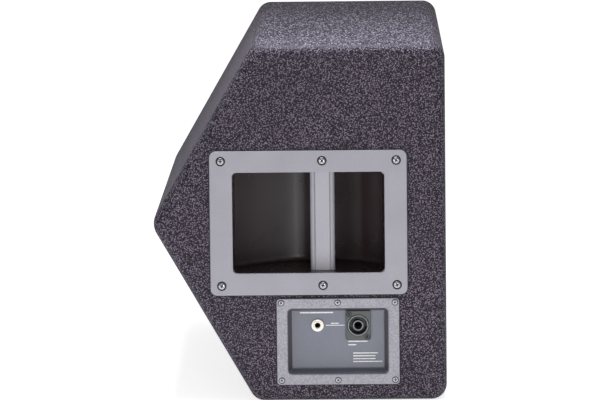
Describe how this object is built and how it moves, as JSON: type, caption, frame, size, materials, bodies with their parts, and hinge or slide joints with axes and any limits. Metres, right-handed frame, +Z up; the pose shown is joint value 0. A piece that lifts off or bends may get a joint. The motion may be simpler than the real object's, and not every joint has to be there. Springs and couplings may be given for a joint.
{
  "type": "stage monitor wedge",
  "caption": "Angled loudspeaker cabinet for stage floors, with a pull handle and an input dish in one end, a pole socket in the other, and drivers behind a steel grille.",
  "frame": {"origin": "middle of the bounding box on the face that the cabinet stands on in its stored pose, a narrow side", "axes": "+X towards the grille, +Y from the input end to the pole end, +Z up"},
  "size_m": [0.305, 0.5808, 0.375],
  "materials": {
    "coating": "black textured coating over plywood",
    "plywood": "bare plywood",
    "grille_paint": "black powder coat",
    "foam": "open cell foam",
    "light_plastic": "fine textured grey",
    "dark_plastic": "satin black",
    "connector_plastic": "satin dark grey",
    "cream_plastic": "cream",
    "screw_steel": "zinc plated",
    "black_screw": "black oxide",
    "cast_frame": "black painted casting",
    "motor_steel": "zinc plated steel and ferrite",
    "paper_cone": "black pulp",
    "treated_cloth": "doped cloth",
    "copper_winding": "copper clad aluminium wire",
    "diaphragm_metal": "thin bright metal",
    "circuit_board": "green board",
    "capacitor_film": "yellow film",
    "wire_jacket": "black jacket"
  },
  "bodies": {
    "cabinet": {"end_panel_input": "coating", "end_panel_pole": "coating", "top_panel": "coating", "bottom_panel": "coating", "rear_panel_upper": "coating", "rear_panel_lower": "coating", "front_baffle": "coating", "internal_brace": "plywood", "grille_sheet": "grille_paint", "grille_foam": "foam", "grille_screw_1": "black_screw", "grille_screw_2": "black_screw", "grille_screw_3": "black_screw", "grille_screw_4": "black_screw", "grille_screw_5": "black_screw", "grille_screw_6": "black_screw", "pole_screw_1": "black_screw", "pole_screw_2": "black_screw", "pole_screw_3": "black_screw", "pole_screw_4": "black_screw", "handle_frame": "light_plastic", "handle_bar": "light_plastic", "input_dish": "light_plastic", "handle_cup": "dark_plastic", "horn": "dark_plastic", "port_tube_lower": "dark_plastic", "port_tube_upper": "dark_plastic", "pole_cup": "dark_plastic", "handle_screw_1": "screw_steel", "handle_screw_2": "screw_steel", "handle_screw_3": "screw_steel", "handle_screw_4": "screw_steel", "handle_screw_5": "screw_steel", "handle_screw_6": "screw_steel", "input_screw_1": "screw_steel", "input_screw_2": "screw_steel", "input_screw_3": "screw_steel", "input_screw_4": "screw_steel", "input_screw_5": "screw_steel", "input_screw_6": "screw_steel", "speaker_connector": "connector_plastic", "phone_jack": "connector_plastic", "jack_nut": "cream_plastic", "woofer_basket": "cast_frame", "woofer_motor": "motor_steel", "compression_driver": "motor_steel", "inductor_woofer": "copper_winding", "inductor_horn": "copper_winding", "surround": "treated_cloth", "spider": "treated_cloth", "crossover_board": "circuit_board", "capacitor_large": "capacitor_film", "capacitor_small": "capacitor_film", "wire_input": "wire_jacket", "wire_woofer": "wire_jacket", "wire_horn": "wire_jacket"},
    "woofer_moving_assembly": {"woofer_cone": "paper_cone", "dust_cap": "paper_cone", "voice_coil": "copper_winding"},
    "hf_diaphragm": {"hf_diaphragm": "diaphragm_metal"}
  },
  "joints": [
    {"name": "woofer_travel", "type": "slide", "parent": "cabinet", "child": "woofer_moving_assembly", "axis": [1, 0, 0], "range_m": [-0.008, 0.008], "stiffness_N_per_m": 4000, "deforming": ["surround", "spider"]},
    {"name": "hf_travel", "type": "slide", "parent": "cabinet", "child": "hf_diaphragm", "axis": [1, 0, 0], "range_m": [-0.0004, 0.0004], "stiffness_N_per_m": 300}
  ]
}
